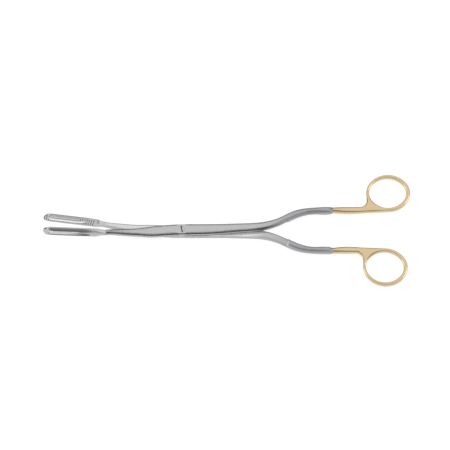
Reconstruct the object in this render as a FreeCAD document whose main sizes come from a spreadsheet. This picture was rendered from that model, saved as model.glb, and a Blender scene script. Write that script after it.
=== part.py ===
import FreeCAD, Part
import math
import os

import Sketcher

from FreeCAD import Placement, Rotation, Vector

# Ovum and placenta forceps: two forged halves lapped on each other and a slotted pivot screw.
# X runs along the instrument towards the finger rings, Y across it in the plane of opening and
# Z along the pivot axis. The origin lies on the pivot axis, in the flat underside of the lap.
# Each half is drawn closed, with its jaw on its own side of Y = 0, and its placement then turns
# it about the pivot by half of the opening that the instrument rests with.

os.makedirs("parts", exist_ok=True)
doc = FreeCAD.newDocument("forceps")
sheet = doc.addObject("Spreadsheet::Sheet", "Dims")

# Millimetres and degrees. Offsets are measured from the closed centre line, towards the side
# on which the front half has its finger ring.
SIZES = [
    ("opening_at_rest", 4.9, "angle between the halves as they lie open"),
    ("half_thickness", 4.0, "one half through the lap"),
    ("lap_clearance", 0.15, "gap between the two ground mating faces"),
    ("grinding_stock", 0.2, "forged stock that is ground off the outer faces"),
    ("bend_start", 19.0, "pivot to the start of the upward bend"),
    ("bend_radius", 130.0, "radius of the bend, to the lap plane"),
    ("bend_angle", 11.3, "how far the jaws lean out of the lap plane"),
    ("neck_run", 8.0, "end of the bend to the neck"),
    ("throat_run", 6.4, "neck to the throat, where the flat of the lap ends"),
    ("throat_thickness", 3.2, "throat across"),
    ("throat_height", 7.2, "depth of the throat, along Z"),
    ("throat_rounding", 1.0, "outer corners of the throat"),
    ("edge_break", 0.3, "broken edges beside the serrations"),
    ("neck_offset", -1.15, "neck centre"),
    ("neck_width", 3.5, "neck width"),
    ("sweep_offset", -1.0, "centre at the end of the bend"),
    ("sweep_width", 4.5, "width at the end of the bend"),
    ("belly_offset", -0.75, "centre half way round the bend"),
    ("belly_width", 6.0, "width half way round the bend"),
    ("shoulder_offset", -0.35, "centre at the start of the bend"),
    ("shoulder_width", 8.1, "width at the start of the bend"),
    ("pivot_offset", 0.0, "centre at the pivot"),
    ("pivot_width", 8.4, "width at the pivot"),
    ("lap_rounding", 1.2, "long corners of the lapped shank"),
    ("flank_step", 21.6, "pivot to the flank"),
    ("flank_offset", -0.65, "flank centre"),
    ("flank_width", 8.0, "flank width"),
    ("saddle_step", 15.2, "flank to the saddle"),
    ("saddle_offset", -0.55, "saddle centre"),
    ("saddle_width", 7.0, "saddle width"),
    ("waist_step", 15.2, "saddle to the waist"),
    ("waist_offset", -0.4, "waist centre"),
    ("waist_width", 6.3, "waist width"),
    ("fork_step", 10.8, "waist to the fork, where the halves part"),
    ("fork_offset", 0.45, "fork centre"),
    ("fork_width", 6.0, "fork width"),
    ("fork_height", 7.7, "fork depth, along Z"),
    ("crook_step", 7.7, "fork to the crook"),
    ("crook_offset", 2.4, "crook centre"),
    ("crook_width", 6.1, "crook width"),
    ("crook_height", 7.0, "crook depth, along Z"),
    ("bow_step", 13.7, "crook to the bow"),
    ("bow_offset", 8.5, "bow centre"),
    ("bow_width", 6.2, "bow width"),
    ("bow_height", 5.8, "bow depth, along Z"),
    ("elbow_step", 9.2, "bow to the elbow"),
    ("elbow_offset", 11.4, "elbow centre"),
    ("elbow_width", 5.6, "elbow width"),
    ("stem_step", 9.2, "elbow to the stem"),
    ("stem_offset", 12.2, "stem centre"),
    ("stem_width", 5.15, "stem width"),
    ("stem_height", 4.6, "stem depth, along Z"),
    ("plating_step", 12.8, "stem to the line where the plating begins"),
    ("front_extra", 1.0, "how much further out the plating of the front half begins"),
    ("plating_offset", 12.1, "stem centre at the plating line"),
    ("plating_width", 4.5, "stem width at the plating line"),
    ("plating_height", 4.0, "stem depth at the plating line, along Z"),
    ("stem_rounding", 1.85, "long corners of the handles"),
    ("land_length", 81.0, "pivot to the step that ends the ground lap"),
    ("jaw_length", 47.1, "throat to the tip"),
    ("jaw_width", 11.0, "jaw across, along Z"),
    ("jaw_thickness", 3.5, "serrated face to the crown of the back"),
    ("jaw_gap", 0.3, "between the serrated faces when closed"),
    ("root_run", 9.4, "throat to the full width of the jaw"),
    ("run_out_radius", 10.5, "cutter that ends the flat of the lap at the throat"),
    ("crown_depth", 2.4, "how far the domed back falls to the sides"),
    ("crown_reach", 4.3, "how far in from the side the dome flattens"),
    ("nose_run", 12.5, "length of the rounded nose"),
    ("window_width", 6.5, "window in the jaw"),
    ("window_length", 32.3, "window in the jaw"),
    ("window_rim", 3.5, "tip to the window"),
    ("window_taper", 9.5, "tapering root end of the window"),
    ("window_end_radius", 0.9, "root end of the window"),
    ("groove_pitch", 1.7, "serration pitch"),
    ("groove_depth", 0.6, "serration depth"),
    ("groove_angle", 100.0, "included angle of a groove"),
    ("groove_start", 2.3, "tip to the first groove"),
    ("groove_count", 22, "grooves in each jaw"),
    ("front_ring_reach", 43.1, "plating line to the centre of the front finger ring"),
    ("rear_ring_reach", 39.9, "plating line to the centre of the rear finger ring"),
    ("ring_offset", 24.4, "centre of the finger ring"),
    ("finger_width", 25.4, "finger hole across the instrument"),
    ("finger_stretch", 3.2, "how much longer than wide the finger hole is"),
    ("oval_step", 2.0, "half the width of an oval, less the radius of its ends"),
    ("near_bar", 2.3, "ring bar on the pivot side"),
    ("far_bar", 3.1, "ring bar at the far end"),
    ("side_bar", 2.8, "ring bar at the sides"),
    ("ring_height", 3.6, "ring depth, along Z"),
    ("ring_edge_share", 0.45, "edge radius of the ring, as a share of its near bar"),
    ("web_radius", 6.0, "hollow corner between the stem and the ring"),
    ("heel_width", 4.3, "stem width where the ring begins"),
    ("heel_sink", 0.15, "how far the stem stands proud of the ring blank, then sinks into it"),
    ("shoulder_radius", 2.25, "plain part of the screw"),
    ("thread_radius", 1.75, "threaded part of the screw"),
    ("head_radius", 2.8, "screw head"),
    ("head_height", 1.3, "screw head"),
    ("running_clearance", 0.05, "front half round and under the screw"),
    ("slot_width", 0.9, "screwdriver slot"),
    ("slot_depth", 0.7, "screwdriver slot"),
    ("slot_turn", 15.0, "how far the slot is turned from straight across"),
]

for row, (name, number, meaning) in enumerate(SIZES, start=1):
    sheet.set(f"A{row}", str(number))
    sheet.setAlias(f"A{row}", name)
    sheet.set(f"B{row}", meaning)
doc.recompute()

FRONT = 1
REAR = -1

# Places that several features share, written in terms of the sheet.
BEND_END_X = "(-Dims.bend_start - Dims.bend_radius * sin(Dims.bend_angle))"
BEND_END_Z = "(Dims.half_thickness + Dims.bend_radius * (1 - cos(Dims.bend_angle)))"
BLANK_HEIGHT = "2 * (Dims.half_thickness + Dims.grinding_stock)"
JAW_FACE = "-Dims.jaw_gap / 2"
THROAT = "(-Dims.neck_run - Dims.throat_run)"
TIP = "(-Dims.neck_run - Dims.throat_run - Dims.jaw_length)"
TOP_FACE = "2 * Dims.half_thickness"
ROOT_SHARES = (0, 0.3, 0.7)
HOLE_CORNERS = ["low left", "low right", "high right", "high left"]
LEVEL = 0.001
HANDLE_STEPS = ["flank", "saddle", "waist", "fork", "crook", "bow", "elbow", "stem", "plating"]


def handle_x(name):
    """How far along the handle a station lies: the steps from the pivot, added up."""
    steps = HANDLE_STEPS[:HANDLE_STEPS.index(name) + 1]
    return "(" + " + ".join(f"Dims.{step}_step" for step in steps) + ")"


def plating_x(side):
    """The plating line, which lies further out on the front half."""
    return f"({handle_x('plating')} + Dims.front_extra * {int(side == FRONT)})"


def value(formula):
    """A formula of the sheet as a plain number."""
    return float(sheet.evalExpression(formula))


def origin_plane(body, role):
    return next(feature for feature in body.Origin.OriginFeatures if feature.Role == role)


def half_body(label, side):
    """A body that is drawn closed and turned about the pivot by half of the opening at rest."""
    body = doc.addObject("PartDesign::Body", label)
    body.Label = label
    body.Placement = Placement(Vector(0, 0, 0), Rotation(Vector(0, 0, side), 1))
    body.setExpression("Placement.Rotation.Angle", "Dims.opening_at_rest / 2")
    return body


def attached_sketch(body, name, role, base=("0", "0", "0"), turn=None):
    """A sketch on an origin plane, moved to base and turned by (axis, formula) in that plane."""
    sketch = body.newObject("Sketcher::SketchObject", name)
    sketch.AttachmentSupport = [(origin_plane(body, role), "")]
    sketch.MapMode = "FlatFace"
    if turn:
        sketch.AttachmentOffset = Placement(Vector(0, 0, 0), Rotation(turn[0], 1))
        sketch.setExpression("AttachmentOffset.Rotation.Angle", turn[1])
    for axis, formula in zip("xyz", base):
        sketch.setExpression(f"AttachmentOffset.Base.{axis}", formula)
    return sketch


def arc_between(first, second, centre):
    """The shorter arc about centre and the ends that first and second have on it."""
    circle = Part.Circle(centre, Vector(0, 0, 1), (first - centre).Length)
    start = math.atan2(first.y - centre.y, first.x - centre.x)
    end = math.atan2(second.y - centre.y, second.x - centre.x)
    if (end - start) % (2 * math.pi) < math.pi:
        return Part.ArcOfCircle(circle, start, end), 1, 2
    return Part.ArcOfCircle(circle, end, start), 2, 1


def bind(sketch, kind, where, formula):
    """A constraint that takes its value from the sheet."""
    index = sketch.addConstraint(Sketcher.Constraint(kind, *where, value(formula)))
    sketch.setExpression(f"Constraints[{index}]", formula)


def draw_outline(sketch, corners):
    """A closed outline. A corner is (x, y), or (x, y, radius, centre x, centre y) where an arc
    leads on from it. Every corner and radius is bound to its formula."""
    points = [Vector(value(corner[0]), value(corner[1]), 0) for corner in corners]
    ends = []
    for index, corner in enumerate(corners):
        following = points[(index + 1) % len(points)]
        if len(corner) == 2:
            edge, start, end = Part.LineSegment(points[index], following), 1, 2
        else:
            centre = Vector(value(corner[3]), value(corner[4]), 0)
            edge, start, end = arc_between(points[index], following, centre)
        ends.append((sketch.addGeometry(edge, False), start, end))
    for index, corner in enumerate(corners):
        edge, start, end = ends[index]
        next_edge, next_start, _ = ends[(index + 1) % len(ends)]
        sketch.addConstraint(Sketcher.Constraint("Coincident", edge, end, next_edge, next_start))
        bind(sketch, "DistanceX", (-1, 1, edge, start), corner[0])
        bind(sketch, "DistanceY", (-1, 1, edge, start), corner[1])
        if len(corner) > 2:
            bind(sketch, "Radius", (edge,), corner[2])


def circle_sketch(body, name, radius, height):
    """A circle about the pivot axis at one height."""
    sketch = attached_sketch(body, name, "XY_Plane", ("0", "0", height))
    circle = sketch.addGeometry(Part.Circle(Vector(0, 0, 0), Vector(0, 0, 1), value(radius)), False)
    sketch.addConstraint(Sketcher.Constraint("Coincident", circle, 3, -1, 1))
    bind(sketch, "Radius", (circle,), radius)
    return sketch


def oval_corners(centre_x, centre_y, long_half, short_half):
    """The corners of an oval of four tangent arcs, longer along X, from its left end down and
    round. The end arcs are tighter than half the width by the oval step."""
    stretch = f"({long_half} - {short_half})"
    end_radius = f"({short_half} - Dims.oval_step)"
    end_shift = f"({stretch} + Dims.oval_step)"
    side_shift = f"({stretch} + {stretch}^2 / (2 * Dims.oval_step))"
    side_radius = f"({side_shift} + {short_half})"
    share = f"({end_radius} / ({side_radius} - {end_radius}))"
    left = f"({centre_x} - {end_shift} * (1 + {share}))"
    right = f"({centre_x} + {end_shift} * (1 + {share}))"
    low = f"({centre_y} - {side_shift} * {share})"
    high = f"({centre_y} + {side_shift} * {share})"
    return {
        "left end": (f"({centre_x} - {long_half})", centre_y, end_radius,
                     f"({centre_x} - {end_shift})", centre_y),
        "low left": (left, low, side_radius, centre_x, f"({centre_y} + {side_shift})"),
        "lowest": (centre_x, f"({centre_y} - {short_half})", side_radius, centre_x,
                   f"({centre_y} + {side_shift})"),
        "low right": (right, low, end_radius, f"({centre_x} + {end_shift})", centre_y),
        "high right": (right, high, side_radius, centre_x, f"({centre_y} - {side_shift})"),
        "high left": (left, high, end_radius, f"({centre_x} - {end_shift})", centre_y),
    }


def mirrored(corners, side):
    """The same corners on the side of Y = 0 that the half has its ring on."""
    turned = []
    for corner in corners:
        turned.append((corner[0], f"{side} * ({corner[1]})") + corner[2:4]
                      + tuple(f"{side} * ({y})" for y in corner[4:]))
    return turned


def add_feature(body, kind, name, **settings):
    feature = body.newObject(f"PartDesign::{kind}", name)
    for setting, content in settings.items():
        setattr(feature, setting, content)
    return feature


def cut_through(body, name, sketch):
    return add_feature(body, "Pocket", name, Profile=sketch, Type="ThroughAll", SideType="Symmetric")


def cut_to_depth(body, name, sketch, depth):
    pocket = add_feature(body, "Pocket", name, Profile=sketch)
    pocket.setExpression("Length", depth)
    return pocket


def round_edges(body, name, base, edges, radius):
    fillet = add_feature(body, "Fillet", name, Base=(base, edges))
    fillet.setExpression("Radius", radius)
    return fillet


def loft_through(body, name, sections):
    return add_feature(body, "AdditiveLoft", name, Profile=sections[0], Sections=sections[1:])


def past_bend(run):
    """A place on the lap plane, run beyond the end of the bend towards the tip."""
    x = f"({BEND_END_X} - {run} * cos(Dims.bend_angle))"
    z = f"({BEND_END_Z} + {run} * sin(Dims.bend_angle))"
    return x, z, "Dims.bend_angle"


def in_bend(share):
    """A place on the lap plane part of the way round the bend."""
    angle = f"({share} * Dims.bend_angle)"
    x = f"(-Dims.bend_start - Dims.bend_radius * sin({angle}))"
    z = f"(Dims.half_thickness + Dims.bend_radius * (1 - cos({angle})))"
    return x, z, angle


def on_flat(x):
    return x, "Dims.half_thickness", None


def bar_section(body, side, name, place, inner, width, height, depth, reach, inner_corner):
    """The section of a bar, square to its centre line. Its inner face, towards the other jaw,
    stands at inner. The back corners are arcs that fall by depth over the length of reach and
    run tangent into the back, and the inner corners are quarter circles."""
    x, z, angle = place
    turn = (Vector(1, 0, 0), angle) if angle else None
    sketch = attached_sketch(body, name, "YZ_Plane", ("0", z, x), turn)
    half = f"({height}) / 2"
    back = f"({inner} - ({width}))"
    wall = f"({back} + {depth})"
    flat = f"({half} - {reach})"
    radius = f"(({depth})^2 + ({reach})^2) / (2 * {depth})"
    arc_y = f"{side} * ({back} + {radius})"
    soft = f"({inner} - {inner_corner})"
    soft_z = f"({half} - {inner_corner})"
    draw_outline(sketch, [
        (f"{side} * {soft}", half),
        (f"{side} * {wall}", half, radius, arc_y, flat),
        (f"{side} * {back}", flat),
        (f"{side} * {back}", f"-{flat}", radius, arc_y, f"-{flat}"),
        (f"{side} * {wall}", f"-{half}"),
        (f"{side} * {soft}", f"-{half}", inner_corner, f"{side} * {soft}", f"-{soft_z}"),
        (f"{side} * ({inner})", f"-{soft_z}"),
        (f"{side} * ({inner})", soft_z, inner_corner, f"{side} * {soft}", soft_z),
    ])
    return sketch


def station(body, side, name, place, height, rounding):
    """A section of the forged bar, from the offset and width that the sheet gives under name."""
    inner = f"(Dims.{name}_offset + Dims.{name}_width / 2)"
    width = f"Dims.{name}_width"
    return bar_section(body, side, name, place, inner, width, height, rounding, rounding, rounding)


def throat_section(body, side):
    return bar_section(body, side, "throat", past_bend(f"(-{THROAT})"), JAW_FACE,
                       "Dims.throat_thickness", "Dims.throat_height", "Dims.throat_rounding",
                       "Dims.throat_rounding", "Dims.edge_break")


def plating_section(body, side):
    inner = "(Dims.plating_offset + Dims.plating_width / 2)"
    return bar_section(body, side, "plating", on_flat(plating_x(side)), inner, "Dims.plating_width",
                       "Dims.plating_height", "Dims.stem_rounding", "Dims.stem_rounding",
                       "Dims.stem_rounding")


def side_view_cut(body, name, lift, end_x, towards):
    """Grinds the bar in side view, along a line that follows the lap plane at the height of
    lift from end_x round the bend and past the throat. What lies towards (1 up, -1 down) goes."""
    radius = f"(Dims.bend_radius - {lift})"
    level = f"(Dims.half_thickness + {lift})"
    bent_x = f"(-Dims.bend_start - {radius} * sin(Dims.bend_angle))"
    bent_z = f"(Dims.half_thickness + Dims.bend_radius - {radius} * cos(Dims.bend_angle))"
    overrun = f"(Dims.jaw_width - {THROAT})"
    far_x = f"({bent_x} - {overrun} * cos(Dims.bend_angle))"
    far_z = f"({bent_z} + {overrun} * sin(Dims.bend_angle))"
    clear_z = f"({far_z} + {towards} * Dims.bend_radius / 2)"
    sketch = attached_sketch(body, name + "_outline", "XZ_Plane")
    draw_outline(sketch, [
        (end_x, level),
        ("-Dims.bend_start", level, radius, "-Dims.bend_start",
         "Dims.half_thickness + Dims.bend_radius"),
        (bent_x, bent_z),
        (far_x, far_z),
        (far_x, clear_z),
        (end_x, clear_z),
    ])
    return cut_through(body, name, sketch)


def make_shank(side, label):
    """Jaw throat to plating line: lofted as a full bar, then ground to half thickness through
    the lap, on the underside of the front half and the top of the rear half."""
    body = half_body(label, side)
    blank = BLANK_HEIGHT
    edge = "Dims.lap_rounding"
    soft = "Dims.stem_rounding"
    stem = "Dims.stem_height"
    sections = [
        throat_section(body, side),
        station(body, side, "neck", past_bend("Dims.neck_run"), blank, "Dims.throat_rounding"),
        station(body, side, "sweep", past_bend("0"), blank, edge),
        station(body, side, "belly", in_bend(0.5), blank, edge),
        station(body, side, "shoulder", on_flat("-Dims.bend_start"), blank, edge),
        station(body, side, "pivot", on_flat("0"), blank, edge),
        station(body, side, "flank", on_flat(handle_x("flank")), blank, edge),
        station(body, side, "saddle", on_flat(handle_x("saddle")), blank, edge),
        station(body, side, "waist", on_flat(handle_x("waist")), blank, edge),
        station(body, side, "fork", on_flat(handle_x("fork")), "Dims.fork_height", edge),
        station(body, side, "crook", on_flat(handle_x("crook")), "Dims.crook_height", soft),
        station(body, side, "bow", on_flat(handle_x("bow")), "Dims.bow_height", soft),
        station(body, side, "elbow", on_flat(handle_x("elbow")), stem, soft),
        station(body, side, "stem", on_flat(handle_x("stem")), stem, soft),
        plating_section(body, side),
    ]
    loft_through(body, "bar", sections)
    side_view_cut(body, "lap", f"({side} * Dims.lap_clearance / 2)", "Dims.land_length", -side)
    side_view_cut(body, "outer_face", f"({side} * Dims.half_thickness)", plating_x(side), side)
    if side == FRONT:
        bore_radius = "Dims.shoulder_radius + Dims.running_clearance"
        cut_through(body, "bearing", circle_sketch(body, "bearing_circle", bore_radius, "0"))
        seat = circle_sketch(body, "head_circle", "Dims.head_radius + Dims.running_clearance", TOP_FACE)
        cut_to_depth(body, "head_seat", seat, "Dims.head_height + Dims.running_clearance")
    else:
        cut_through(body, "tapping", circle_sketch(body, "tapping_circle", "Dims.thread_radius", "0"))
    return body


def jaw_plan(body, name):
    """A sketch in the plane that the jaw is seen in from its serrated face: x along the jaw
    towards the pivot, y across it, from where the bend ends."""
    base = (BEND_END_X, BEND_END_Z, "0")
    return attached_sketch(body, name, "XZ_Plane", base, (Vector(0, 0, -1), "Dims.bend_angle"))


def jaw_side_view(body, name):
    """A sketch that sees the thickness of the jaw: x along the jaw, y as in the model."""
    base = (BEND_END_X, "0", BEND_END_Z)
    return attached_sketch(body, name, "XY_Plane", base, (Vector(0, 1, 0), "Dims.bend_angle"))


def jaw_section(body, side, number, share):
    """A section of the jaw between its full width, at share 0, and the throat, at share 1. The
    width follows the smooth step 3 share^2 - 2 share^3."""
    eased = f"{3 * share ** 2 - 2 * share ** 3:.3f}"
    run = f"(Dims.root_run * {1 - share:.2f} - {THROAT})"
    width = f"(Dims.jaw_thickness + {eased} * (Dims.throat_thickness - Dims.jaw_thickness))"
    height = f"(Dims.jaw_width + {eased} * (Dims.throat_height - Dims.jaw_width))"
    depth = f"(Dims.crown_depth + {eased} * (Dims.throat_rounding - Dims.crown_depth))"
    reach = f"(Dims.crown_reach + {eased} * (Dims.throat_rounding - Dims.crown_reach))"
    return bar_section(body, side, f"root_{number}", past_bend(run), JAW_FACE, width, height,
                       depth, reach, "Dims.edge_break")


def cut_tip(body):
    """Rounds the tip to a half circle, seen from the serrated face."""
    half = "Dims.jaw_width / 2"
    centre = f"({TIP} + {half})"
    clear = f"({half} + Dims.jaw_thickness)"
    beyond = f"({TIP} - Dims.jaw_thickness)"
    sketch = jaw_plan(body, "tip_outline")
    draw_outline(sketch, [
        (centre, half, half, centre, "0"),
        (TIP, "0", half, centre, "0"),
        (centre, f"-{half}"),
        (centre, f"-{clear}"),
        (beyond, f"-{clear}"),
        (beyond, clear),
        (centre, clear),
    ])
    cut_through(body, "tip", sketch)


def cut_nose(body, side):
    """Rounds the back of the tip down towards the serrated face."""
    back = f"({JAW_FACE} - Dims.jaw_thickness)"
    radius = "(Dims.crown_depth^2 + Dims.nose_run^2) / (2 * Dims.crown_depth)"
    low = f"({back} + Dims.crown_depth)"
    nose_end = f"({TIP} + Dims.nose_run)"
    beyond = f"({TIP} - Dims.jaw_thickness)"
    clear = f"({back} - Dims.jaw_thickness)"
    sketch = jaw_side_view(body, "nose_outline")
    draw_outline(sketch, [
        (TIP, f"{side} * {low}", radius, nose_end, f"{side} * ({back} + {radius})"),
        (nose_end, f"{side} * {back}"),
        (nose_end, f"{side} * {clear}"),
        (beyond, f"{side} * {clear}"),
        (beyond, f"{side} * {low}"),
    ])
    cut_through(body, "nose", sketch)


def cut_window(body):
    """The window: round at the tip end, tapering to a small round end at the root."""
    half = "Dims.window_width / 2"
    start = f"({TIP} + Dims.window_rim)"
    centre = f"({start} + {half})"
    end = f"({start} + Dims.window_length)"
    taper = f"({end} - Dims.window_taper)"
    end_radius = "Dims.window_end_radius"
    end_centre = f"({end} - {end_radius})"
    sketch = jaw_plan(body, "window_outline")
    draw_outline(sketch, [
        (taper, half),
        (centre, half, half, centre, "0"),
        (start, "0", half, centre, "0"),
        (centre, f"-{half}"),
        (taper, f"-{half}"),
        (end_centre, f"-{end_radius}", end_radius, end_centre, "0"),
        (end, "0", end_radius, end_centre, "0"),
        (end_centre, end_radius),
    ])
    cut_through(body, "window", sketch)


def cut_grooves(body, side):
    """The transverse serrations: one V groove across the jaw, repeated along it."""
    first = f"({TIP} + Dims.groove_start)"
    bottom = f"({JAW_FACE} - Dims.groove_depth)"
    half = f"(-{bottom} * tan(Dims.groove_angle / 2))"
    sketch = jaw_side_view(body, "groove_outline")
    draw_outline(sketch, [
        (f"({first} - {half})", "0"),
        (f"({first} + {half})", "0"),
        (first, f"{side} * {bottom}"),
    ])
    groove = cut_through(body, "groove", sketch)
    pattern = add_feature(body, "LinearPattern", "grooves", Originals=[groove],
                          Direction=(sketch, ["H_Axis"]))
    pattern.setExpression("Length", "Dims.groove_pitch * (Dims.groove_count - 1)")
    pattern.setExpression("Occurrences", "Dims.groove_count")
    body.Tip = pattern


def cut_run_out(body, side):
    """Ends the flat of the lap in a hollow curve, tangent to it at the throat."""
    level = f"({side} * Dims.lap_clearance / 2)"
    radius = "Dims.run_out_radius"
    deep = f"({level} - {side} * {radius})"
    clear = f"({THROAT} + Dims.jaw_thickness)"
    sketch = jaw_plan(body, "run_out_outline")
    draw_outline(sketch, [
        (THROAT, level, radius, THROAT, deep),
        (f"({THROAT} - {radius})", deep),
        (clear, deep),
        (clear, level),
    ])
    cut_through(body, "run_out", sketch)


def make_jaw(side, label):
    """Fenestrated jaw with a domed back and a serrated face."""
    body = half_body(label, side)
    roots = [jaw_section(body, side, number, share) for number, share in enumerate(ROOT_SHARES)]
    loop = add_feature(body, "Pad", "loop", Profile=roots[0], Reversed=True)
    loop.setExpression("Length", "Dims.jaw_length - Dims.root_run")
    loft_through(body, "root", roots + [throat_section(body, side)])
    cut_run_out(body, side)
    cut_tip(body)
    cut_nose(body, side)
    cut_window(body)
    cut_grooves(body, side)
    return body


def ring_section(body, side, name, x, sink):
    """A section of the stem where the ring begins, sink inside the faces of the ring blank."""
    lowest = "(Dims.ring_offset - Dims.finger_width / 2 - Dims.side_bar)"
    inner = f"({lowest} + Dims.heel_width - {sink})"
    width = f"(Dims.heel_width - 2 * {sink})"
    height = f"(Dims.ring_height - 2 * {sink})"
    rounding = "(Dims.ring_edge_share * Dims.near_bar)"
    return bar_section(body, side, name, on_flat(x), inner, width, height, rounding, rounding, rounding)


def level_edges(shape):
    """The edges that lie in a plane of one height."""
    return [f"Edge{n}" for n, edge in enumerate(shape.Edges, 1) if edge.BoundBox.ZLength < LEVEL]


def make_ring_handle(side, label, reach):
    """Plated stem that runs tangent into an oval finger ring, with a hollow corner between."""
    body = half_body(label, side)
    centre_x = f"({plating_x(side)} + {reach})"
    hole_short = "(Dims.finger_width / 2)"
    hole_long = f"({hole_short} + Dims.finger_stretch / 2)"
    rim_short = f"({hole_short} + Dims.side_bar)"
    rim_long = f"({hole_long} + (Dims.near_bar + Dims.far_bar) / 2)"
    rim_x = f"({centre_x} + (Dims.far_bar - Dims.near_bar) / 2)"
    near_x = f"({rim_x} - {rim_long})"
    lowest = f"(Dims.ring_offset - {rim_short})"
    stem_edge = f"({lowest} + Dims.heel_width)"
    web_x = f"({near_x} - Dims.web_radius)"
    web_y = f"({stem_edge} + Dims.web_radius)"
    rounding = "Dims.ring_edge_share * Dims.near_bar"
    under = "Dims.half_thickness - Dims.ring_height / 2"

    rim = oval_corners(rim_x, "Dims.ring_offset", rim_long, rim_short)
    outline = [
        (near_x, web_y, "Dims.web_radius", web_x, web_y),
        (web_x, stem_edge),
        (web_x, lowest),
        rim["lowest"],
        rim["low right"],
        rim["high right"],
        rim["high left"],
        rim["left end"][:2],
    ]
    blank_outline = attached_sketch(body, "ring_outline", "XY_Plane", ("0", "0", under))
    draw_outline(blank_outline, mirrored(outline, side))
    blank = add_feature(body, "Pad", "ring_blank", Profile=blank_outline)
    blank.setExpression("Length", "Dims.ring_height")

    hole = oval_corners(centre_x, "Dims.ring_offset", hole_long, hole_short)
    hole_outline = attached_sketch(body, "hole_outline", "XY_Plane", ("0", "0", under))
    draw_outline(hole_outline, mirrored([hole[name] for name in HOLE_CORNERS], side))
    finger_hole = cut_through(body, "finger_hole", hole_outline)
    doc.recompute()
    round_edges(body, "ring_rounding", finger_hole, level_edges(finger_hole.Shape), rounding)

    loft_through(body, "stem", [
        plating_section(body, side),
        ring_section(body, side, "approach", web_x, "(-Dims.heel_sink)"),
        ring_section(body, side, "heel", near_x, "Dims.heel_sink"),
    ])
    return body


def make_screw(label):
    """Shoulder screw, threaded into the rear half with its end flush, its head sunk flush in
    the front half. It turns with the rear half."""
    body = half_body(label, REAR)
    seat = "(Dims.half_thickness - Dims.lap_clearance / 2)"
    head_seat = f"({TOP_FACE} - Dims.head_height)"
    profile = attached_sketch(body, "profile", "XZ_Plane")
    draw_outline(profile, [
        ("0", "0"),
        ("Dims.thread_radius", "0"),
        ("Dims.thread_radius", seat),
        ("Dims.shoulder_radius", seat),
        ("Dims.shoulder_radius", head_seat),
        ("Dims.head_radius", head_seat),
        ("Dims.head_radius", TOP_FACE),
        ("0", TOP_FACE),
    ])
    add_feature(body, "Revolution", "turned", Profile=profile, ReferenceAxis=(profile, ["V_Axis"]),
                Angle=360)
    slot = attached_sketch(body, "slot_outline", "XY_Plane", ("0", "0", TOP_FACE),
                           (Vector(0, 0, 1), "Dims.slot_turn"))
    half = "Dims.slot_width / 2"
    end = "(Dims.head_radius + Dims.slot_width)"
    draw_outline(slot, [(half, end), (f"-{half}", end), (f"-{half}", f"-{end}"), (half, f"-{end}")])
    cut_to_depth(body, "slot", slot, "Dims.slot_depth")
    return body


bodies = [
    make_jaw(FRONT, "front_jaw"),
    make_shank(FRONT, "front_shank"),
    make_ring_handle(FRONT, "front_ring_handle", "Dims.front_ring_reach"),
    make_jaw(REAR, "rear_jaw"),
    make_shank(REAR, "rear_shank"),
    make_ring_handle(REAR, "rear_ring_handle", "Dims.rear_ring_reach"),
    make_screw("pivot_screw"),
]
doc.recompute()

for item in doc.Objects:
    if {"Invalid", "Error"} & set(item.State):
        raise RuntimeError(f"{item.Name} failed: {item.State}")
    base = getattr(item, "BaseFeature", None)
    if item.isDerivedFrom("PartDesign::Pocket") and item.Shape.Volume >= base.Shape.Volume:
        raise RuntimeError(f"{item.Name} cuts nothing")

for body in bodies:
    if body.Shape.isNull() or not body.Shape.isValid() or len(body.Shape.Solids) != 1:
        raise RuntimeError(f"{body.Label} isn't one valid solid")
    body.Shape.exportStep(f"parts/{body.Label}.step")
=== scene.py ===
import math

import bpy
from mathutils import Matrix, Vector

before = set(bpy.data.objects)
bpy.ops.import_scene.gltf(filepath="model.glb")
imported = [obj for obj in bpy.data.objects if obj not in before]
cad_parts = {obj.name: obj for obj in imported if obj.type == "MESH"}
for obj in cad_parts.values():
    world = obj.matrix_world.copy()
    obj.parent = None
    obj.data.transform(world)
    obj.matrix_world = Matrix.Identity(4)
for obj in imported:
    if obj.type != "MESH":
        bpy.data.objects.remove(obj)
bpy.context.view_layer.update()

# The camera. PHOTO_SIDE and PIVOT_PIXEL are pixels, and LENS and SENSOR millimetres. All other
# lengths, here and below, are metres in the frame of the forceps, whose X runs along the
# instrument to the finger rings and whose Z runs up the pivot.
PHOTO_SIDE = 450
PIXEL = 0.7642e-3
LAP_PLANE = Vector((0.0, 0.0, 0.004))
PIVOT_PIXEL = (181.8, 230.95)
ELEVATION = math.radians(65.0)
ROLL = math.radians(0.23)
LENS = 180.0
SENSOR = 36.0

# The room: how bright it is, where 1 is white, how high its dimmer walls reach, where 1 is
# straight overhead, and the dimmer opening that the camera looks in by.
ROOM_GLOW = 0.90
WALL_GLOW = 0.30
WALL_TOP = 0.45
OPENING_GLOW = 0.36
OPENING_ELEVATION = math.radians(87.0)
OPENING_INNER = math.radians(11.0)
OPENING_OUTER = math.radians(20.0)
SOFTBOX_GLOW = 2.2
SOFTBOX_SIZE = 0.7
LEFT_SOFTBOX = (-1.1, 0.1, 0.9)
RIGHT_SOFTBOX = (1.2, 0.1, 0.9)
SOFTBOX_AIM = Vector((0.03, 0.0, 0.0))

# The floor.
FLOOR_SIZE = 6.0
FLOOR_PAINT = 0.80
FLOOR_ROUGHNESS = 0.9
FLOOR_SPECULAR = 0.1
BACKDROP_PAINT = 0.24
BACKDROP_GLOW = 0.84

# Directions in the frame of the forceps, and the two halves.
ALONG = (1.0, 0.0, 0.0)
ACROSS = (0.0, 1.0, 0.0)
UP = (0.0, 0.0, 1.0)
FRONT = 1
REAR = -1

# The halves lie open by twice HALF_OPENING, and their jaws lean up by BEND.
HALF_OPENING = math.radians(2.45)
BEND = math.radians(11.3)
BEND_END = Vector((-0.04447, 0.0, 0.00652))

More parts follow.
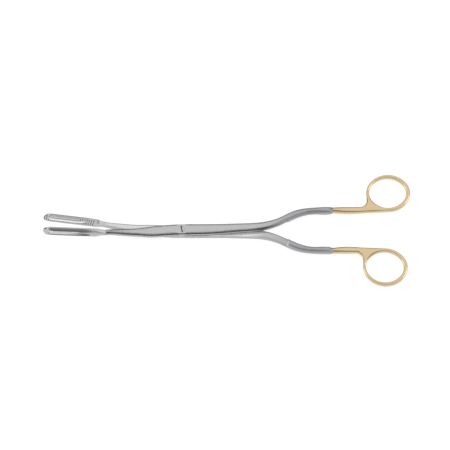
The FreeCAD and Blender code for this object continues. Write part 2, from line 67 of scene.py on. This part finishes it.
# The serrated faces. FIRST_GROOVE and LAST_GROOVE are run lengths from the end of the bend.
FACE_INSET = 0.00015
GROOVE_DEPTH = 0.0006
GROOVE_PITCH = 0.0017
FIRST_GROOVE = 0.0592
LAST_GROOVE = 0.0235

# The windows in the jaws. WINDOW_REACH is measured from the jaw's middle line.
WINDOW_REACH = 0.0038
WINDOW_START = -0.1025
WINDOW_END = -0.0695
WINDOW_SIDE_BLUR = 0.0002
WINDOW_END_BLUR = 0.0003

# The lap's step, the screw's face, and how wide the long edges of the shanks look rounded.
STEP = 0.081
HEAD_FACE = 0.008
SHOULDER_WIDTH = 0.0024
SCREW_EDGE_WIDTH = 0.0001
EDGE_WIDTH = 0.00025

# Where a mask fades in, as a place along, across or up the instrument, or as a distance from
# what it marks: it is 0 at the first and 1 at the second.
CORNER_PLACE = (-0.064, -0.074)
WINDOW_ROOT_PLACE = (-0.088, -0.074)
GROUND_PLACE = (-0.004, -0.012)
LAP_START_PLACE = (0.014, 0.028)
LAP_END_PLACE = (0.064, 0.050)
SHOULDER_PLACE = (0.085, 0.060)
HANDLE_PLACE = (0.060, 0.092)
STEM_PLACE = (0.158, 0.146)
STEM_SIDE = (0.030, 0.024)
STEP_EDGE = (0.0007, 0.0003)
SCREW_CLEAR = (0.0038, 0.0052)
SLOT_PLACE = (HEAD_FACE - 0.00003, HEAD_FACE - 0.00012)
FACE_DEPTH = (FACE_INSET + 1.3 * GROOVE_DEPTH, FACE_INSET + 1.05 * GROOVE_DEPTH)
FACE_ROOT_BLUR = 0.0002
FRONT_WALL_BACK = dict(Back_from=0.0018, Back_full=0.0025)
REAR_WALL_BACK = dict(Back_from=0.0017, Back_full=0.0028)

# How far a normal leans, from 0 for sideways to 1 for straight along the direction asked for,
# where a mask fades in: it is 0 at the first lean and 1 at the second.
FLAT_LEAN = (0.90, 0.97)
CORNER_OFF_SIDE = (0.20, 0.45)
CORNER_OFF_FLAT = (0.96, 0.88)
SHOULDER_OFF_SIDE = (0.05, 0.30)
SHOULDER_OFF_FLAT = (0.99, 0.95)
SHOULDER_OFF_END = (0.60, 0.45)
STREAK_OFF_SIDE = (0.78, 0.86)
STREAK_OFF_TOP = (0.995, 0.985)
STEP_LEAN = (0.2, 0.5)
WALL_LEAN = (0.60, 0.45)
GROOVE_WAVE = (-0.5, 0.5)

# What is left of a mask where it has faded out.
ROOT_CORNER = 0.15
HANDLE_SHOULDER = 0.25
RING_STREAK = 0.25

# The grain.
LINE_DETAIL = 3.0
LINE_ROUGHNESS = 0.6
CLOUD_SCALE = 120.0
CLOUD_DETAIL = 2.0
LINE_SHARE = 0.6
CLOUD_SHARE = 0.4
LINE_STRENGTH = 0.25
ROUGHNESS_SWING = 0.07
EDGE_SAMPLES = 6

# Colours of the metals. The flank colour is painted shade, laid on faces that look sideways; the worn
# colour on sharp edges is edge wear with a painted highlight.
STEEL = dict(dark=(0.52, 0.52, 0.53), light=(0.64, 0.64, 0.65), flank_shade=(0.46, 0.46, 0.47),
             worn_and_highlight=(0.74, 0.74, 0.74), roughness=0.22, line_depth=0.00002)
GOLD = dict(dark=(0.72, 0.55, 0.32), light=(0.84, 0.68, 0.44), flank_shade=(0.70, 0.54, 0.32),
            worn_and_highlight=(0.94, 0.84, 0.64), roughness=0.18, line_depth=0.00001)
TURNED_STEEL = dict(dark=(0.52, 0.52, 0.53), light=(0.64, 0.64, 0.65), flank_shade=(0.20, 0.20, 0.20),
                    worn_and_highlight=(0.62, 0.62, 0.62), roughness=0.28, line_depth=0.00002)
WHITE = (1.0, 1.0, 1.0, 1.0)

# Tones laid over the metals: each a colour and how strongly it covers.
# A painted dark reflection along the rounded long edges of the shanks.
SHOULDER_REFLECTION_TONE = ((0.06, 0.06, 0.062), 1.0)
HANDLE_TONE = ((0.30, 0.30, 0.32), 0.52)
# A painted dark reflection in two lines along each steel handle.
STREAK_REFLECTION_TONE = ((0.14, 0.14, 0.15), 0.42)
# A painted dark reflection along each gold stem.
GOLD_STREAK_REFLECTION_TONE = ((0.22, 0.145, 0.065), 1.0)
GROUND_TONE = ((0.76, 0.76, 0.77), 1.0)
# A painted highlight on the ground flat of the lap.
LAP_HIGHLIGHT_TONE = ((0.97, 0.97, 0.97), 1.0)
# A painted highlight along the edge of the lap's step.
STEP_HIGHLIGHT_TONE = ((0.90, 0.90, 0.90), 0.7)
# A painted dark reflection on the rounded corners of the jaws.
CORNER_REFLECTION_TONE = ((0.15, 0.15, 0.155), 0.85)
# Painted reflections that lighten the walls of the jaw windows.
PALE_WALL_REFLECTION_TONE = ((0.76, 0.76, 0.76), 1.0)
BRIGHT_WALL_REFLECTION_TONE = ((0.97, 0.97, 0.97), 1.0)
# Painted shade on the window walls near the jaw's root.
ROOT_WALL_SHADE_TONE = ((0.26, 0.26, 0.26), 0.9)
# Painted shade on the window walls that lie deep behind the rims.
FRONT_BACK_SHADE_TONE = ((0.22, 0.22, 0.22), 0.9)
REAR_BACK_SHADE_TONE = ((0.22, 0.22, 0.22), 0.95)
CREST_TONE = ((0.62, 0.62, 0.62), 0.9)
# Painted shade in the grooves of the serrations.
GROOVE_SHADE_TONE = ((0.03, 0.03, 0.03), 1.0)
# Painted shade in the screw's slot and on its sides below the face.
SLOT_SHADE_TONE = ((0.03, 0.03, 0.03), 1.0)


def new_material(name):
    """An empty node material and its tree, with a Principled shader on the output."""
    material = bpy.data.materials.new(name)
    material.use_nodes = True
    tree = material.node_tree
    tree.nodes.clear()
    shader = tree.nodes.new("ShaderNodeBsdfPrincipled")
    output = tree.nodes.new("ShaderNodeOutputMaterial")
    tree.links.new(shader.outputs["BSDF"], output.inputs["Surface"])
    return material, tree, shader


def new_group(name, inputs, outputs):
    """A shader node group of numbers, with the sockets that feed it and those that it puts out.
    inputs maps each input's name to its starting value, and outputs maps each output's name to
    its socket type."""
    group = bpy.data.node_groups.new(name, "ShaderNodeTree")
    for socket_name, start in inputs.items():
        socket = group.interface.new_socket(socket_name, in_out="INPUT", socket_type="NodeSocketFloat")
        socket.default_value = start
    for socket_name, kind in outputs.items():
        group.interface.new_socket(socket_name, in_out="OUTPUT", socket_type=kind)
    given = group.nodes.new("NodeGroupInput").outputs
    result = group.nodes.new("NodeGroupOutput").inputs
    return group, given, result


def feed(tree, socket, value):
    """Sets a socket to a number, or links another socket to it."""
    if isinstance(value, (int, float)):
        socket.default_value = value
    else:
        tree.links.new(value, socket)


def add_math(tree, operation, *values):
    """A math node. values are sockets or plain numbers."""
    node = tree.nodes.new("ShaderNodeMath")
    node.operation = operation
    for place, value in enumerate(values):
        feed(tree, node.inputs[place], value)
    return node.outputs[0]


def product(tree, first, *others):
    """first times each of the others."""
    for other in others:
        first = add_math(tree, "MULTIPLY", first, other)
    return first


def place_group(tree, group, **values):
    """One use of a node group, with its inputs set to numbers or linked to sockets."""
    node = tree.nodes.new("ShaderNodeGroup")
    node.node_tree = group
    for socket_name, value in values.items():
        feed(tree, node.inputs[socket_name.replace("_", " ")], value)
    return node.outputs


def placed(group, output, **values):
    """A layer's mask that is one output of a node group, placed with its own values."""

    def mask(tree):
        return place_group(tree, group, **values)[output]

    return mask


def faded(tree, value, start, end):
    """0 where value is at start or before it, 1 at end or past it, with a soft step between."""
    node = tree.nodes.new("ShaderNodeMapRange")
    node.interpolation_type = "SMOOTHSTEP"
    feed(tree, node.inputs["Value"], value)
    feed(tree, node.inputs["From Min"], start)
    feed(tree, node.inputs["From Max"], end)
    return node.outputs["Result"]


def ranged(tree, value, low, high):
    """value, from 0 to 1, stretched to run from low to high."""
    node = tree.nodes.new("ShaderNodeMapRange")
    feed(tree, node.inputs["Value"], value)
    feed(tree, node.inputs["To Min"], low)
    feed(tree, node.inputs["To Max"], high)
    return node.outputs["Result"]


def reach(tree, kind, direction):
    """How far a place (kind Object), a normal (kind Normal) or, in the world, a line of sight
    (kind Generated) reaches in one direction."""
    source = tree.nodes.new("ShaderNodeTexCoord")
    dot = tree.nodes.new("ShaderNodeVectorMath")
    dot.operation = "DOT_PRODUCT"
    dot.inputs[1].default_value = direction
    tree.links.new(source.outputs[kind], dot.inputs[0])
    return dot.outputs["Value"]


def size_of_reach(tree, kind, direction):
    """How far it reaches, whichever way along that direction."""
    return add_math(tree, "ABSOLUTE", reach(tree, kind, direction))


def painted(tree, base, colour, share):
    """base, a colour or a socket, with another colour over it where share is 1."""
    node = tree.nodes.new("ShaderNodeMix")
    node.data_type = "RGBA"
    node.inputs["B"].default_value = (*colour, 1.0)
    tree.links.new(share, node.inputs["Factor"])
    if isinstance(base, tuple):
        node.inputs["A"].default_value = (*base, 1.0)
    else:
        tree.links.new(base, node.inputs["A"])
    return node.outputs["Result"]


def make_grain_group():
    """Brushed grain: noise stretched along the instrument, so that it reads as fine parallel
    polishing lines, and a slower noise that lets their strength wander."""
    tree, given, result = new_group(
        "Brushed grain",
        {"Lines per metre": 6000.0, "Stretch": 40.0},
        {"Lines": "NodeSocketFloat", "Clouds": "NodeSocketFloat"},
    )
    place = tree.nodes.new("ShaderNodeTexCoord").outputs["Object"]
    split = tree.nodes.new("ShaderNodeSeparateXYZ")
    join = tree.nodes.new("ShaderNodeCombineXYZ")
    tree.links.new(place, split.inputs[0])
    tree.links.new(add_math(tree, "DIVIDE", split.outputs["X"], given["Stretch"]), join.inputs["X"])
    tree.links.new(split.outputs["Y"], join.inputs["Y"])
    tree.links.new(split.outputs["Z"], join.inputs["Z"])
    lines = tree.nodes.new("ShaderNodeTexNoise")
    lines.inputs["Detail"].default_value = LINE_DETAIL
    lines.inputs["Roughness"].default_value = LINE_ROUGHNESS
    tree.links.new(join.outputs[0], lines.inputs["Vector"])
    tree.links.new(given["Lines per metre"], lines.inputs["Scale"])
    clouds = tree.nodes.new("ShaderNodeTexNoise")
    clouds.inputs["Scale"].default_value = CLOUD_SCALE
    clouds.inputs["Detail"].default_value = CLOUD_DETAIL
    tree.links.new(place, clouds.inputs["Vector"])
    tree.links.new(lines.outputs["Fac"], result["Lines"])
    tree.links.new(clouds.outputs["Fac"], result["Clouds"])
    return tree


def make_edge_group():
    """Edge wear and painted edge highlight: Edge is 1 where the surface turns sharply, from the
    difference between the true normal and the normal of the same surface with softly rounded
    edges."""
    tree, given, result = new_group(
        "Worn edges and painted highlight",
        {"Sharpness": 8.0, "Softness": EDGE_WIDTH},
        {"Edge": "NodeSocketFloat", "Soft normal": "NodeSocketVector"},
    )
    geometry = tree.nodes.new("ShaderNodeNewGeometry")
    bevel = tree.nodes.new("ShaderNodeBevel")
    bevel.samples = EDGE_SAMPLES
    tree.links.new(given["Softness"], bevel.inputs["Radius"])
    dot = tree.nodes.new("ShaderNodeVectorMath")
    dot.operation = "DOT_PRODUCT"
    tree.links.new(geometry.outputs["Normal"], dot.inputs[0])
    tree.links.new(bevel.outputs["Normal"], dot.inputs[1])
    turned = add_math(tree, "SUBTRACT", 1.0, dot.outputs["Value"])
    edge = tree.nodes.new("ShaderNodeMath")
    edge.operation = "MULTIPLY"
    edge.use_clamp = True
    tree.links.new(turned, edge.inputs[0])
    tree.links.new(given["Sharpness"], edge.inputs[1])
    tree.links.new(edge.outputs[0], result["Edge"])
    tree.links.new(bevel.outputs["Normal"], result["Soft normal"])
    return tree


def make_flank_group():
    """Flank is 0 on faces that look up or down, along the pivot, and 1 on faces that look
    sideways, from how steeply the surface stands in the frame of the forceps. It places the
    painted shade on the sides."""
    tree, given, result = new_group(
        "Flanks", {"Flat from": 0.85, "Flank from": 0.35}, {"Flank": "NodeSocketFloat"})
    lean = size_of_reach(tree, "Normal", UP)
    flank_shade = faded(tree, lean, given["Flat from"], given["Flank from"])
    tree.links.new(flank_shade, result["Flank"])
    return tree


def make_shoulder_group():
    """The long edges of a shank, where they are rounded. Shoulder is 1 along them on the outer
    face, a little way on to the flat, and fades out on the handle; a painted dark reflection is
    laid there. Softness is how wide the edges look rounded: narrow round the screw, wide
    elsewhere."""
    tree, given, result = new_group(
        "Shoulder softness and painted reflection",
        {"Side": FRONT},
        {"Shoulder": "NodeSocketFloat", "Softness": "NodeSocketFloat"},
    )
    off_axis = tree.nodes.new("ShaderNodeVectorMath")
    off_axis.operation = "MULTIPLY"
    off_axis.inputs[1].default_value = (1.0, 1.0, 0.0)
    tree.links.new(tree.nodes.new("ShaderNodeTexCoord").outputs["Object"], off_axis.inputs[0])
    length = tree.nodes.new("ShaderNodeVectorMath")
    length.operation = "LENGTH"
    tree.links.new(off_axis.outputs["Vector"], length.inputs[0])
    clear = faded(tree, length.outputs["Value"], *SCREW_CLEAR)
    softness = ranged(tree, clear, SCREW_EDGE_WIDTH, SHOULDER_WIDTH)
    normal = tree.nodes.new("ShaderNodeSeparateXYZ")
    tree.links.new(place_group(tree, EDGES, Softness=softness)["Soft normal"], normal.inputs[0])
    lean = add_math(tree, "MULTIPLY", normal.outputs["Z"], given["Side"])
    end_lean = add_math(tree, "ABSOLUTE", normal.outputs["X"])
    long_edge = product(tree, faded(tree, lean, *SHOULDER_OFF_SIDE), faded(tree, lean, *SHOULDER_OFF_FLAT),
                        faded(tree, end_lean, *SHOULDER_OFF_END))
    off_handle = faded(tree, reach(tree, "Object", ALONG), *SHOULDER_PLACE)
    shoulder = product(tree, long_edge, add_math(tree, "MAXIMUM", off_handle, HANDLE_SHOULDER))
    tree.links.new(shoulder, result["Shoulder"])
    tree.links.new(softness, result["Softness"])
    return tree


def make_jaw_corner_group():
    """Corner is 1 on the rounded corners of a jaw, between its flats and its side faces, and
    fades out towards its root. It places a painted dark reflection on those corners."""
    tree, _, result = new_group("Jaw corners painted reflection", {}, {"Corner": "NodeSocketFloat"})
    lean = size_of_reach(tree, "Normal", UP)
    corner = product(tree, faded(tree, lean, *CORNER_OFF_SIDE), faded(tree, lean, *CORNER_OFF_FLAT))
    off_root = faded(tree, reach(tree, "Object", ALONG), *CORNER_PLACE)
    off_root = add_math(tree, "MAXIMUM", off_root, ROOT_CORNER)
    tree.links.new(product(tree, corner, off_root), result["Corner"])
    return tree


def make_bar_group():
    """Handle rises along the handles, towards the plating. Handle streak and Stem streak are 1
    in two lines along each bar, where its rounded back begins to turn down: the first on the
    handles, the second on the stems, and faint on the finger rings away from the stem. Both
    streaks carry a painted dark reflection."""
    tree, _, result = new_group(
        "Bars",
        {},
        {"Handle": "NodeSocketFloat", "Handle streak": "NodeSocketFloat",
         "Stem streak": "NodeSocketFloat"},
    )
    along = reach(tree, "Object", ALONG)
    lean = reach(tree, "Normal", UP)
    handle = faded(tree, along, *HANDLE_PLACE)
    streak = product(tree, faded(tree, lean, *STREAK_OFF_SIDE), faded(tree, lean, *STREAK_OFF_TOP))
    from_middle = size_of_reach(tree, "Object", ACROSS)
    on_stem = product(tree, faded(tree, along, *STEM_PLACE), faded(tree, from_middle, *STEM_SIDE))
    on_stem = add_math(tree, "MAXIMUM", on_stem, RING_STREAK)
    tree.links.new(handle, result["Handle"])
    tree.links.new(product(tree, streak, handle), result["Handle streak"])
    tree.links.new(product(tree, streak, on_stem), result["Stem streak"])
    return tree


def jaw_depth(tree, side):
    """How deep a place lies in a jaw, from the middle between the halves towards the jaw's
    back. side is FRONT or REAR, as a socket."""
    along = reach(tree, "Object", (math.sin(HALF_OPENING), 0.0, 0.0))
    across = reach(tree, "Object", (0.0, -math.cos(HALF_OPENING), 0.0))
    return add_math(tree, "ADD", along, add_math(tree, "MULTIPLY", across, side))


def jaw_run(tree):
    """How far a place lies along a jaw, from the end of the bend towards the tip."""
    along = Vector((-math.cos(BEND), 0.0, math.sin(BEND)))
    return add_math(tree, "SUBTRACT", reach(tree, "Object", along), BEND_END.dot(along))


def make_serration_group():
    """Face is 1 on the serrated face of a jaw and down to the bottoms of its grooves. Groove is
    1 in its grooves and 0 on the crests, one wave to each groove, and places painted shade in
    the grooves."""
    tree, given, result = new_group(
        "Serrations", {"Side": FRONT}, {"Face": "NodeSocketFloat", "Groove": "NodeSocketFloat"})
    run = jaw_run(tree)
    root = LAST_GROOVE - GROOVE_PITCH / 2
    face = product(tree, faded(tree, jaw_depth(tree, given["Side"]), *FACE_DEPTH),
                   faded(tree, run, root, root + FACE_ROOT_BLUR))
    waves = add_math(tree, "DIVIDE", add_math(tree, "SUBTRACT", run, FIRST_GROOVE), GROOVE_PITCH)
    wave = add_math(tree, "COSINE", add_math(tree, "MULTIPLY", waves, 2.0 * math.pi))
    groove = product(tree, faded(tree, wave, *GROOVE_WAVE), face)
    tree.links.new(face, result["Face"])
    tree.links.new(groove, result["Groove"])
    return tree


def make_window_group():
    """Wall is 1 on the walls of a jaw's window: near the jaw's own middle line and facing along
    or across the jaw; a painted reflection lightens them. Root is the walls near the jaw's
    root, and Back is the walls that lie deep behind the serrated face, from Back from to Back
    full; painted shade darkens both, standing in for the shade that the rim casts."""
    tree, given, result = new_group(
        "Jaw window",
        {"Side": FRONT, "Back from": 0.0018, "Back full": 0.0025},
        {"Wall": "NodeSocketFloat", "Root": "NodeSocketFloat", "Back": "NodeSocketFloat"},
    )
    jaw_up = Vector((math.sin(BEND), 0.0, math.cos(BEND)))
    from_middle = add_math(tree, "SUBTRACT", reach(tree, "Object", jaw_up), BEND_END.dot(jaw_up))
    from_middle = add_math(tree, "ABSOLUTE", from_middle)
    inside = faded(tree, from_middle, WINDOW_REACH, WINDOW_REACH - WINDOW_SIDE_BLUR)
    wall = faded(tree, size_of_reach(tree, "Normal", ACROSS), *WALL_LEAN)
    along = reach(tree, "Object", ALONG)
    past_rim = faded(tree, along, WINDOW_START, WINDOW_START + WINDOW_END_BLUR)
    short_of_root = faded(tree, along, WINDOW_END, WINDOW_END - WINDOW_END_BLUR)
    wall = product(tree, inside, wall, past_rim, short_of_root)
    back = faded(tree, jaw_depth(tree, given["Side"]), given["Back from"], given["Back full"])
    tree.links.new(wall, result["Wall"])
    tree.links.new(product(tree, wall, faded(tree, along, *WINDOW_ROOT_PLACE)), result["Root"])
    tree.links.new(product(tree, wall, back), result["Back"])
    return tree


def ground_mask(tree):
    """1 on the ground flat of the lap, from the pivot to the jaw."""
    up = faded(tree, reach(tree, "Normal", UP), *FLAT_LEAN)
    return product(tree, up, faded(tree, reach(tree, "Object", ALONG), *GROUND_PLACE))


def lap_highlight_mask(tree):
    """1 on the ground flat of the rear half where the front half lies over it; a painted highlight
    lightens that flat there.
    """
    up = faded(tree, reach(tree, "Normal", UP), *FLAT_LEAN)
    along = reach(tree, "Object", ALONG)
    return product(tree, up, faded(tree, along, *LAP_START_PLACE), faded(tree, along, *LAP_END_PLACE))


def step_highlight_mask(tree):
    """1 along the edge of the step that ends the ground lap of the rear half, where a painted highlight is
    laid.
    """
    along = (math.cos(HALF_OPENING), -math.sin(HALF_OPENING), 0.0)
    off_step = add_math(tree, "SUBTRACT", reach(tree, "Object", along), STEP)
    near = faded(tree, add_math(tree, "ABSOLUTE", off_step), *STEP_EDGE)
    return product(tree, near, faded(tree, reach(tree, "Normal", UP), *STEP_LEAN))


def slot_shade_mask(tree):
    """1 in the slot and on the sides of the screw, below its face, where painted shade is laid."""
    return faded(tree, reach(tree, "Object", UP), *SLOT_PLACE)


def make_metal(name, dark, light, flank_shade, worn_and_highlight, roughness, line_depth, softness=EDGE_WIDTH, layers=()):
    """Satin metal: its colour wanders between dark and light with the grain, is painted darker
    on the flanks as shade, and turns to the worn colour on its edges, which is edge wear and a
    painted highlight; roughness and bump follow the grain. layers are (mask, tone), painted one
    over the other. softness is how wide the edges look rounded, a number or a mask."""
    material, tree, shader = new_material(name)
    grain = place_group(tree, GRAIN)
    edge = place_group(tree, EDGES)["Edge"]
    width = softness(tree) if callable(softness) else softness
    soft_normal = place_group(tree, EDGES, Softness=width)["Soft normal"]
    wander = add_math(tree, "ADD", add_math(tree, "MULTIPLY", grain["Lines"], LINE_SHARE),
                      add_math(tree, "MULTIPLY", grain["Clouds"], CLOUD_SHARE))
    colour = painted(tree, dark, light, wander)
    colour = painted(tree, colour, flank_shade, place_group(tree, FLANKS)["Flank"])
    for mask, (tone, strength) in layers:
        colour = painted(tree, colour, tone, add_math(tree, "MULTIPLY", mask(tree), strength))
    colour = painted(tree, colour, worn_and_highlight, edge)
    tree.links.new(colour, shader.inputs["Base Color"])
    swing = ranged(tree, grain["Lines"], roughness - ROUGHNESS_SWING, roughness + ROUGHNESS_SWING)
    tree.links.new(swing, shader.inputs["Roughness"])
    bump = tree.nodes.new("ShaderNodeBump")
    bump.inputs["Strength"].default_value = LINE_STRENGTH
    bump.inputs["Distance"].default_value = line_depth
    tree.links.new(grain["Lines"], bump.inputs["Height"])
    tree.links.new(soft_normal, bump.inputs["Normal"])
    tree.links.new(bump.outputs["Normal"], shader.inputs["Normal"])
    shader.inputs["Metallic"].default_value = 1.0
    return material


def dress(words, material):
    """Gives a material to every CAD node whose name has these words in it."""
    for name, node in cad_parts.items():
        if words in name:
            node.data.materials.clear()
            node.data.materials.append(material)


def dress_shanks():
    """Satin steel, darker towards the plating, with painted dark reflections along the long
    edges and the handles. The rear shank also shows the ground flat of the lap, a painted
    highlight on it where the front half lies over it, and a painted highlight along the edge
    of the step that ends it."""
    softness = placed(SHOULDERS, "Softness")
    handle = (placed(BARS, "Handle"), HANDLE_TONE)
    streak_reflections = (placed(BARS, "Handle streak"), STREAK_REFLECTION_TONE)
    front_shoulder_reflection = (placed(SHOULDERS, "Shoulder", Side=FRONT), SHOULDER_REFLECTION_TONE)
    rear_shoulder_reflection = (placed(SHOULDERS, "Shoulder", Side=REAR), SHOULDER_REFLECTION_TONE)
    ground = (ground_mask, GROUND_TONE)
    lap = (lap_highlight_mask, LAP_HIGHLIGHT_TONE)
    step = (step_highlight_mask, STEP_HIGHLIGHT_TONE)
    dress("front_shank", make_metal("front shank steel", **STEEL, softness=softness, layers=[
        front_shoulder_reflection, handle, streak_reflections]))
    dress("rear_shank", make_metal("rear shank steel", **STEEL, softness=softness, layers=[
        ground, lap, rear_shoulder_reflection, handle, streak_reflections, step]))


def dress_jaws():
    """Satin steel with a painted dark reflection on its rounded corners, a painted reflection
    that lightens the window walls, painted shade at the windows' roots and backs, and painted
    shade in the grooves between lighter crests."""
    corner_reflections = (placed(CORNERS, "Corner"), CORNER_REFLECTION_TONE)
    dress("front_jaw", make_metal("front jaw steel", **STEEL, layers=[
        corner_reflections,
        (placed(WINDOW, "Wall"), PALE_WALL_REFLECTION_TONE),
        (placed(WINDOW, "Root"), ROOT_WALL_SHADE_TONE),
        (placed(WINDOW, "Back", Side=FRONT, **FRONT_WALL_BACK), FRONT_BACK_SHADE_TONE),
        (placed(SERRATIONS, "Face", Side=FRONT), CREST_TONE),
        (placed(SERRATIONS, "Groove", Side=FRONT), GROOVE_SHADE_TONE)]))
    dress("rear_jaw", make_metal("rear jaw steel", **STEEL, layers=[
        corner_reflections,
        (placed(WINDOW, "Wall"), BRIGHT_WALL_REFLECTION_TONE),
        (placed(WINDOW, "Back", Side=REAR, **REAR_WALL_BACK), REAR_BACK_SHADE_TONE),
        (placed(SERRATIONS, "Face", Side=REAR), CREST_TONE),
        (placed(SERRATIONS, "Groove", Side=REAR), GROOVE_SHADE_TONE)]))


def dress_ring_handles():
    """Satin gold plating, with a painted dark reflection along each stem."""
    dress("ring_handle", make_metal("satin gold plating", **GOLD, layers=[
        (placed(BARS, "Stem streak"), GOLD_STREAK_REFLECTION_TONE)]))


def dress_screw():
    """Turned steel with painted shade in the slot and on the sides below its face."""
    dress("screw", make_metal("turned screw steel", **TURNED_STEEL, layers=[(slot_shade_mask, SLOT_SHADE_TONE)]))


def set_paint(shader, tone, roughness, specular):
    """A mat grey paint."""
    shader.inputs["Base Color"].default_value = (tone, tone, tone, 1.0)
    shader.inputs["Roughness"].default_value = roughness
    shader.inputs["Specular IOR Level"].default_value = specular


def make_stage():
    """A pale floor. Lamps and mat surfaces meet its plain paint; the camera, metal and glass
    meet paint with a steady glow added, which is white where no shadow falls."""
    bpy.ops.mesh.primitive_plane_add(size=FLOOR_SIZE, location=(0.0, 0.0, 0.0))
    floor = bpy.context.active_object
    floor.name = "floor"
    material, tree, paint = new_material("pale floor")
    set_paint(paint, FLOOR_PAINT, FLOOR_ROUGHNESS, FLOOR_SPECULAR)
    backdrop = tree.nodes.new("ShaderNodeBsdfPrincipled")
    set_paint(backdrop, BACKDROP_PAINT, 1.0, 0.0)
    backdrop.inputs["Emission Color"].default_value = WHITE
    backdrop.inputs["Emission Strength"].default_value = BACKDROP_GLOW
    path = tree.nodes.new("ShaderNodeLightPath")
    seen = add_math(tree, "MAXIMUM", path.outputs["Is Camera Ray"], path.outputs["Is Glossy Ray"])
    seen = add_math(tree, "MAXIMUM", seen, path.outputs["Is Transmission Ray"])
    choice = tree.nodes.new("ShaderNodeMixShader")
    tree.links.new(seen, choice.inputs["Fac"])
    tree.links.new(paint.outputs["BSDF"], choice.inputs[1])
    tree.links.new(backdrop.outputs["BSDF"], choice.inputs[2])
    output = next(node for node in tree.nodes if node.type == "OUTPUT_MATERIAL")
    tree.links.new(choice.outputs["Shader"], output.inputs["Surface"])
    floor.data.materials.append(material)


def make_softbox(name, place):
    """A square softbox that faces the pivot."""
    lamp = bpy.data.lights.new(name, "AREA")
    lamp.size = SOFTBOX_SIZE
    lamp.energy = SOFTBOX_GLOW * math.pi * SOFTBOX_SIZE * SOFTBOX_SIZE
    holder = bpy.data.objects.new(name, lamp)
    bpy.context.scene.collection.objects.link(holder)
    holder.location = place
    holder.rotation_euler = (SOFTBOX_AIM - Vector(place)).to_track_quat("-Z", "Y").to_euler()


def make_lights():
    """A bright room with dimmer walls, one dimmer patch overhead, the opening that the camera
    looks in by, and a softbox at each end. Flats mirror the ceiling, and rounded edges show the
    patch and the walls as lines."""
    world = bpy.data.worlds.new("studio")
    bpy.context.scene.world = world
    world.use_nodes = True
    tree = world.node_tree
    opening = (0.0, -math.cos(OPENING_ELEVATION), math.sin(OPENING_ELEVATION))
    in_opening = faded(tree, reach(tree, "Generated", opening), math.cos(OPENING_OUTER),
                       math.cos(OPENING_INNER))
    above_walls = faded(tree, reach(tree, "Generated", UP), 0.0, WALL_TOP)
    strength = add_math(tree, "MULTIPLY", ranged(tree, in_opening, 1.0, OPENING_GLOW),
                        ranged(tree, above_walls, WALL_GLOW, ROOM_GLOW))
    background = tree.nodes["Background"]
    background.inputs["Color"].default_value = WHITE
    tree.links.new(strength, background.inputs["Strength"])
    make_softbox("left softbox", LEFT_SOFTBOX)
    make_softbox("right softbox", RIGHT_SOFTBOX)


def make_camera():
    """The photograph's view: long lens, looking along +Y and down, so that the pivot falls on
    its own pixel and one pixel is PIXEL wide there."""
    right = Vector(ALONG)
    up = Vector((0.0, math.sin(ELEVATION), math.cos(ELEVATION)))
    away = Vector((0.0, -math.cos(ELEVATION), math.sin(ELEVATION)))
    half = PHOTO_SIDE / 2
    centre = (LAP_PLANE + right * (half - PIVOT_PIXEL[0]) * PIXEL
              + up * (PIVOT_PIXEL[1] - half) * PIXEL)
    distance = PHOTO_SIDE * PIXEL * LENS / SENSOR
    camera_data = bpy.data.cameras.new("camera")
    camera_data.lens = LENS
    camera_data.sensor_width = SENSOR
    camera = bpy.data.objects.new("camera", camera_data)
    bpy.context.scene.collection.objects.link(camera)
    turned = Matrix((right, up, away)).transposed() @ Matrix.Rotation(-ROLL, 3, "Z")
    camera.matrix_world = Matrix.Translation(centre + away * distance) @ turned.to_4x4()
    bpy.context.scene.camera = camera


GRAIN = make_grain_group()
EDGES = make_edge_group()
FLANKS = make_flank_group()
SHOULDERS = make_shoulder_group()
CORNERS = make_jaw_corner_group()
BARS = make_bar_group()
SERRATIONS = make_serration_group()
WINDOW = make_window_group()
dress_shanks()
dress_jaws()
dress_ring_handles()
dress_screw()
make_stage()
make_lights()
make_camera()
bpy.context.scene.view_settings.view_transform = "Standard"
